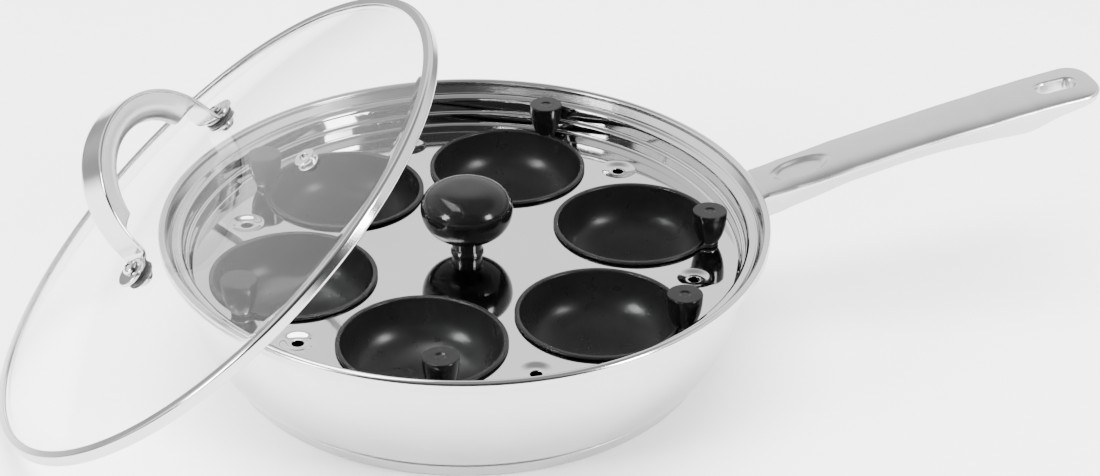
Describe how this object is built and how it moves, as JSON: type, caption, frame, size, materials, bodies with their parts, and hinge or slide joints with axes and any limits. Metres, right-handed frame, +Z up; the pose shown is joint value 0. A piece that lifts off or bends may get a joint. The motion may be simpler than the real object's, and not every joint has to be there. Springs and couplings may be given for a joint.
{
  "type": "egg poacher pan",
  "caption": "Low stainless pan with a lift-out tray of round poaching cups, a long handle and a domed glass lid leaning on the rim.",
  "frame": {"origin": "centre of the pan's base underside, on the table", "axes": "+Z up along the pan's axis, +X along the pan's handle, from the pan's middle towards the handle's tip"},
  "size_m": [0.5212, 0.27, 0.1658],
  "materials": {
    "satin_steel": "satin, fine turning lines",
    "handle_steel": "satin",
    "band_steel": "bright satin",
    "polished_steel": "mirror polished",
    "bright_steel": "bright",
    "base_aluminium": "plain",
    "black_phenolic": "glossy",
    "nonstick_coating": "satin non-stick",
    "clear_glass": "clear tempered",
    "black_rubber": "matt"
  },
  "bodies": {
    "pan": {"pan_body": "satin_steel", "base_core": "base_aluminium", "base_cap": "satin_steel", "pan_handle": "handle_steel", "handle_bracket": "satin_steel"},
    "tray": {"egg_tray": "polished_steel", "tray_knob": "black_phenolic", "tray_knob_screw": "bright_steel", "tray_knob_washer": "bright_steel"},
    "lid": {"lid_glass": "clear_glass", "lid_band": "band_steel", "lid_vent": "bright_steel", "lid_handle": "handle_steel", "lid_screws": "bright_steel", "lid_washers": "bright_steel", "lid_seals": "black_rubber", "lid_nuts": "bright_steel"},
    "cup_1": {"egg_cup_1": "nonstick_coating", "cup_knob_1": "black_phenolic", "cup_stud_1": "bright_steel"},
    "cup_2": {"egg_cup_2": "nonstick_coating", "cup_knob_2": "black_phenolic", "cup_stud_2": "bright_steel"},
    "cup_3": {"egg_cup_3": "nonstick_coating", "cup_knob_3": "black_phenolic", "cup_stud_3": "bright_steel"},
    "cup_4": {"egg_cup_4": "nonstick_coating", "cup_knob_4": "black_phenolic", "cup_stud_4": "bright_steel"},
    "cup_5": {"egg_cup_5": "nonstick_coating", "cup_knob_5": "black_phenolic", "cup_stud_5": "bright_steel"},
    "cup_6": {"egg_cup_6": "nonstick_coating", "cup_knob_6": "black_phenolic", "cup_stud_6": "bright_steel"}
  },
  "joints": [
    {"name": "tray_lift", "type": "slide", "parent": "pan", "child": "tray", "axis": [0, 0, 1], "range_m": [0, 0.024]},
    {"name": "lid_lift", "type": "slide", "parent": "pan", "child": "lid", "axis": [-0.634, 0.1209, 0.7638], "range_m": [0, 0.25]},
    {"name": "cup_1_lift", "type": "slide", "parent": "tray", "child": "cup_1", "axis": [0, 0, 1], "range_m": [0, 0.028]},
    {"name": "cup_2_lift", "type": "slide", "parent": "tray", "child": "cup_2", "axis": [0, 0, 1], "range_m": [0, 0.028]},
    {"name": "cup_3_lift", "type": "slide", "parent": "tray", "child": "cup_3", "axis": [0, 0, 1], "range_m": [0, 0.028]},
    {"name": "cup_4_lift", "type": "slide", "parent": "tray", "child": "cup_4", "axis": [0, 0, 1], "range_m": [0, 0.028]},
    {"name": "cup_5_lift", "type": "slide", "parent": "tray", "child": "cup_5", "axis": [0, 0, 1], "range_m": [0, 0.028]},
    {"name": "cup_6_lift", "type": "slide", "parent": "tray", "child": "cup_6", "axis": [0, 0, 1], "range_m": [0, 0.028]}
  ]
}
